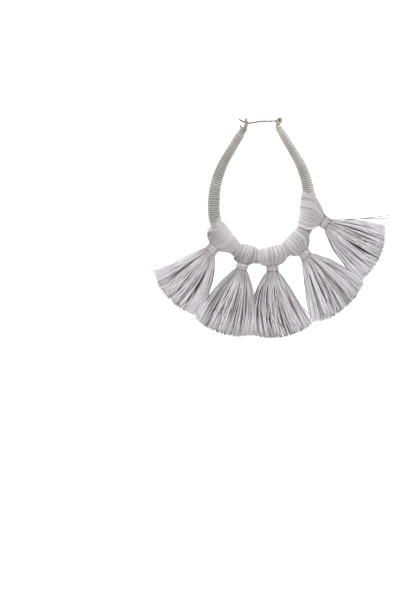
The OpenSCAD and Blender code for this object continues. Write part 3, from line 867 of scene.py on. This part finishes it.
def plated(name, colour, shadow, roughness, grain, spots):
    """Plated or blackened metal over a cast or drawn surface: slightly uneven, and duller where it was not
    rubbed. grain is the size of the surface's grains, and spots the number of tarnish spots in 1 mm."""
    material = new_material(name)
    place = add(material, "ShaderNodeTexCoord")
    cast = add(material, "ShaderNodeTexNoise", {"Scale": 1 / (grain * MM), **CAST_NOISE},
               {"Vector": place.outputs["Object"]})
    tarnish = add(material, "ShaderNodeTexNoise", {"Scale": spots / MM, "Detail": 2.0},
                  {"Vector": place.outputs["Object"]})
    ramp = add(material, "ShaderNodeValToRGB", links={"Fac": tarnish.outputs["Fac"]})
    ramp.color_ramp.elements[0].position = TARNISH_FROM
    ramp.color_ramp.elements[1].position = TARNISH_TO
    ramp.color_ramp.elements[0].color = linear(shadow)
    ramp.color_ramp.elements[1].color = linear(colour)
    dull = add(material, "ShaderNodeMapRange",
               {"To Min": roughness - SMOOTHER, "To Max": roughness + DULLER},
               {"Value": cast.outputs["Fac"]})
    bump = add(material, "ShaderNodeBump", {"Strength": CAST_BUMP, "Distance": CAST_RELIEF * MM},
               {"Height": cast.outputs["Fac"]})
    surface = add(material, "ShaderNodeBsdfPrincipled", {"Metallic": 1.0},
                  {"Base Color": ramp.outputs["Color"], "Roughness": dull.outputs[0],
                   "Normal": bump.outputs["Normal"]})
    add(material, "ShaderNodeOutputMaterial", links={"Surface": surface.outputs[0]})
    return material


def give_finish(node, material):
    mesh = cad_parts[node].data
    mesh.materials.clear()
    mesh.materials.append(material)


# Greyish, with darker hollows that the tumbling didn't reach.
cast_silver = plated("silver_plated_casting", "#D6CFCD", "#8D8583", roughness=0.36, grain=0.25, spots=2.2)
give_finish("catch", cast_silver)


# The hinge knuckle and its pin
# A forked knuckle, cast and silver-plated, glued over the right end of the rod and bored across for a
# rivet pin of blackened steel, on which the ear wire turns. The pin is also painted near black as painted
# shade in its hole. Both show as packed.

# Pale and slightly yellow, with a satin gloss, and nearly clean.
satin_silver = plated("silver_plated_knuckle", "#DAD6C4", "#B9B5A0", roughness=0.36, grain=0.3, spots=0.6)
give_finish("hinge_knuckle", satin_silver)

# Nearly black, and too dull to mirror anything: partly the pin's own blackened steel, partly painted shade
# of the hole it sits in.
blackened = plated("blackened_rivet_with_painted_shade", "#2C2826", "#141210", roughness=0.5, grain=0.2, spots=0.6)
give_finish("hinge_pin", blackened)


# The ear wire
# A drawn wire, bent in a bow and silver-plated, with its end flattened to an eye that turns on the pin. It
# is pale towards the eye, where the plating was rubbed, and has a dark spot painted where it enters the
# knuckle's fork, as a painted shadow. It shows as packed.

# Over which X the wire turns pale, and the place and size of the painted shadow where the wire enters the
# knuckle's fork, in the earring's frame.
RUBBED_FROM = 0.2
RUBBED_TO = 1.0
FORK_SHADOW = (1.75, 40.2, 3.9)
FORK_SHADOW_R = 0.3
FORK_SHADOW_FADE = 1.4

# A brownish grey, because the thin plating over the drawn metal is dull.
drawn_wire = plated("drawn_plated_wire", "#8F8280", "#6E6260", roughness=0.5, grain=0.4, spots=0.6)
surface = next(node for node in drawn_wire.node_tree.nodes if node.type == "BSDF_PRINCIPLED")
wire_colour = surface.inputs["Base Color"].links[0].from_socket
place = add(drawn_wire, "ShaderNodeTexCoord")
axes = add(drawn_wire, "ShaderNodeSeparateXYZ", links={0: place.outputs["Object"]})
rubbed = add(drawn_wire, "ShaderNodeMapRange", {"From Min": RUBBED_FROM * MM, "From Max": RUBBED_TO * MM},
             {"Value": axes.outputs["X"]})
paler = add(drawn_wire, "ShaderNodeMix", {"data_type": "RGBA", 7: linear("#E9E5D6")},
            {0: rubbed.outputs[0], 6: wire_colour})
# Painted shadow: the wire is painted dark round this place, where the knuckle's fork shades it.
away = add(drawn_wire, "ShaderNodeVectorMath", {"operation": "DISTANCE", 1: [c * MM for c in FORK_SHADOW]},
           {0: place.outputs["Object"]})
fork_shadow_mask = add(drawn_wire, "ShaderNodeMapRange",
           {"From Min": FORK_SHADOW_R * MM, "From Max": FORK_SHADOW_FADE * FORK_SHADOW_R * MM, "To Min": 1.0, "To Max": 0.0},
           {"Value": away.outputs["Value"]})
fork_shadowed = add(drawn_wire, "ShaderNodeMix", {"data_type": "RGBA", 7: linear("#3A3634")},
              {0: fork_shadow_mask.outputs[0], 6: paler.outputs[2]})
drawn_wire.node_tree.links.new(fork_shadowed.outputs[2], surface.inputs["Base Color"])

give_finish("ear_wire", drawn_wire)


# The table, the light and the camera
# The earring lies on a plain white card in a light tent, under three wide soft lights, and is seen from
# straight above.

# Half the card's width, in metres.
FLOOR_HALF = 0.9
floor_mesh = bpy.data.meshes.new("floor")
floor_corners = [(x * FLOOR_HALF, y * FLOOR_HALF, 0) for x, y in ((-1, -1), (1, -1), (1, 1), (-1, 1))]
floor_mesh.from_pydata(floor_corners, [], [(0, 1, 2, 3)])
floor = bpy.data.objects.new("floor", floor_mesh)
bpy.context.scene.collection.objects.link(floor)

# Matt card that glows a little with the light of the tent: it shows plain white, with only faint shadows.
white_card = new_material("white_card")
card = add(white_card, "ShaderNodeBsdfPrincipled",
           {"Base Color": linear("#F4F4F4"), "Roughness": 0.9,
            "Emission Color": linear("#FFFFFF"), "Emission Strength": 0.9})
add(white_card, "ShaderNodeOutputMaterial", links={"Surface": card.outputs[0]})
floor_mesh.materials.append(white_card)

# The tent is brightest at the height of the table and darker overhead, so the metal has some contrast.
TENT_WALL = 0.88
TENT_TOP = 0.42
world = bpy.data.worlds.new("studio")
bpy.context.scene.world = world
world.use_nodes = True
look = add(world, "ShaderNodeTexCoord")
rise = add(world, "ShaderNodeSeparateXYZ", links={0: look.outputs["Generated"]})
tent = add(world, "ShaderNodeMapRange", {"To Min": TENT_WALL, "To Max": TENT_TOP},
           {"Value": rise.outputs["Z"]})
background = world.node_tree.nodes["Background"]
background.inputs["Color"].default_value = linear("#FFFFFF")
world.node_tree.links.new(tent.outputs[0], background.inputs["Strength"])

# The lights' sizes and places are in metres and their power in watts.
Softbox = namedtuple("Softbox", "name size power place")
SOFTBOXES = [
    Softbox("right_softbox", 0.4, 2.6, (0.35, 0.45, 0.68)),
    Softbox("left_softbox", 0.4, 1.4, (-0.55, 0.1, 0.55)),
    Softbox("front_softbox", 0.5, 0.8, (0.1, -0.75, 0.45)),
]
for softbox in SOFTBOXES:
    lamp = bpy.data.lights.new(softbox.name, "AREA")
    lamp.shape = "DISK"
    lamp.size = softbox.size
    lamp.energy = softbox.power
    holder = bpy.data.objects.new(softbox.name, lamp)
    holder.location = softbox.place
    holder.rotation_euler = (-Vector(softbox.place)).to_track_quat("-Z", "Y").to_euler()
    bpy.context.scene.collection.objects.link(holder)

# The picture is 600 pixels tall at 0.38 mm a pixel. BOWL_PIXEL is where the middle of the foot shows in it.
FRAME_TALL = 600
PIXEL = 0.38
BOWL_PIXEL = (261.5, 209.0)
PICTURE_MIDDLE = (200.0, 300.0)
camera_data = bpy.data.cameras.new("camera")
camera_data.lens = 100
camera_data.sensor_width = 36
camera_data.sensor_fit = "AUTO"
camera_data.clip_start = 0.01
camera_data.clip_end = 10
camera = bpy.data.objects.new("camera", camera_data)
camera.location = (
    (centre[0] + (PICTURE_MIDDLE[0] - BOWL_PIXEL[0]) * PIXEL) * MM,
    (centre[1] - (PICTURE_MIDDLE[1] - BOWL_PIXEL[1]) * PIXEL) * MM,
    (HOOP_Z + FRAME_TALL * PIXEL * camera_data.lens / camera_data.sensor_width) * MM,
)
bpy.context.scene.collection.objects.link(camera)
bpy.context.scene.camera = camera
bpy.context.scene.view_settings.view_transform = "Standard"
